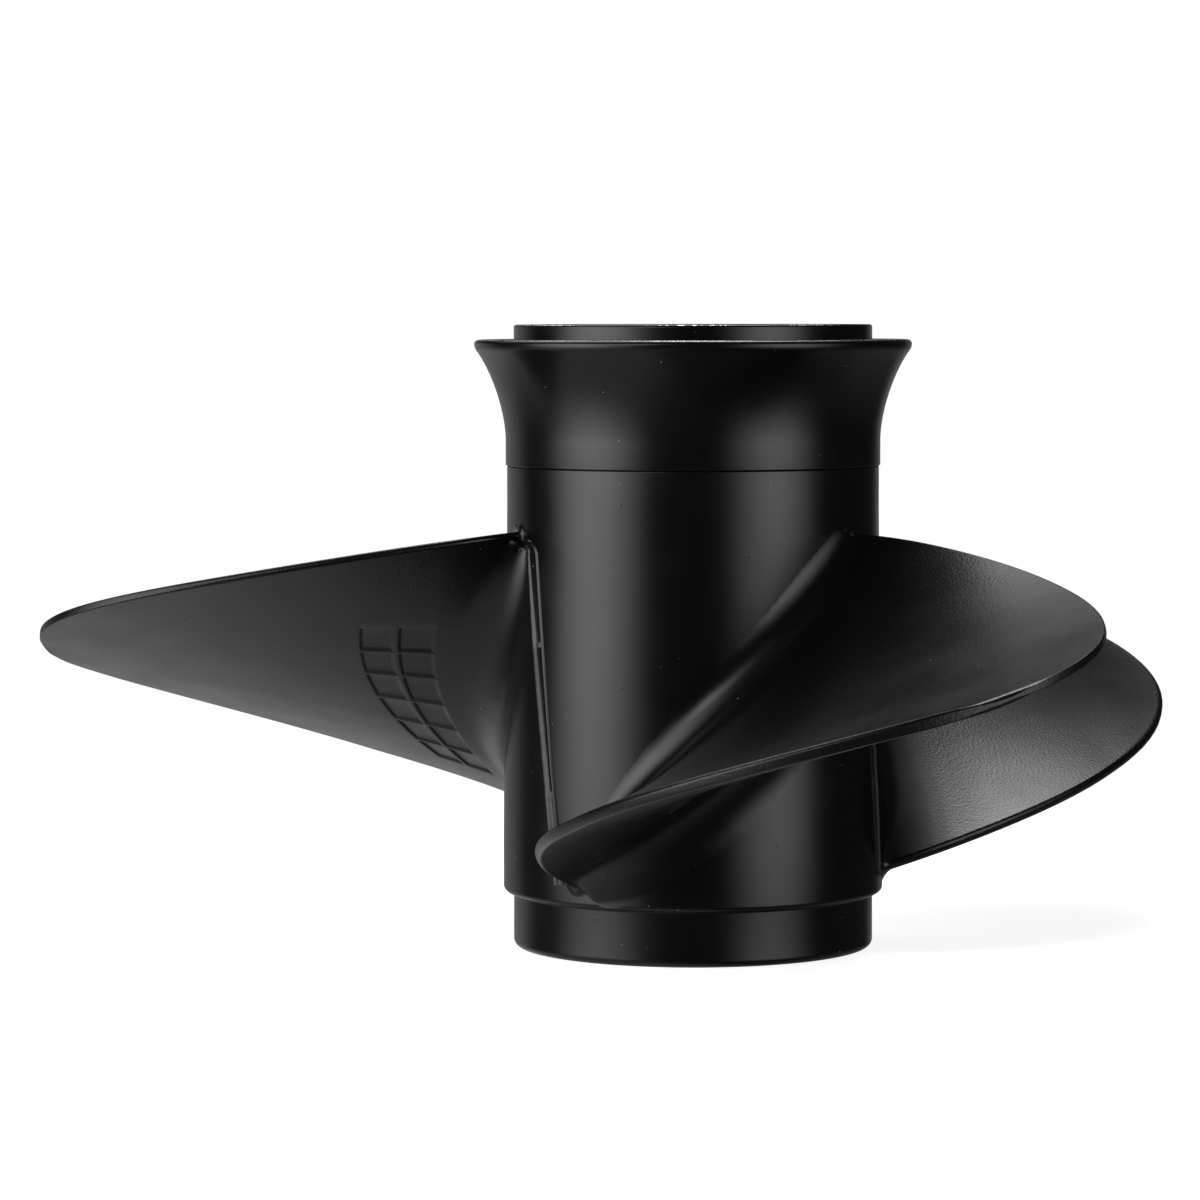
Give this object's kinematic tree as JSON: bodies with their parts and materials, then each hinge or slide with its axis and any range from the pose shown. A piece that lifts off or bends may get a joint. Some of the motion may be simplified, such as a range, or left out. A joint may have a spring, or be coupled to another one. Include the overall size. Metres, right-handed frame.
{
  "type": "outboard boat propeller",
  "caption": "Aluminium outboard boat propeller: broad helical blades on an open exhaust barrel with a flared aft ring, a ribbed inner hub, a rubber bushing and a splined brass sleeve.",
  "frame": {"origin": "on the shaft axis at the height of the solids' centroid, 61.9 mm above the front rim", "axes": "+Z along the shaft towards the aft end, so the part stands on its front rim; -Y towards the blade in front"},
  "size_m": [0.2592, 0.2668, 0.1385],
  "materials": {
    "hub_paint": "satin",
    "flare_paint": "satin",
    "blade_paint": "satin",
    "core_paint": "matte",
    "bushing_rubber": "matte",
    "sleeve_brass": "satin"
  },
  "bodies": {
    "root": {"barrel": "hub_paint", "diffuser_flare": "flare_paint", "blade_1": "blade_paint", "blade_2": "blade_paint", "blade_3": "blade_paint", "inner_hub": "core_paint", "rib_1": "core_paint", "rib_2": "core_paint", "rib_3": "core_paint", "rubber_bushing": "bushing_rubber", "splined_sleeve": "sleeve_brass"}
  },
  "joints": []
}
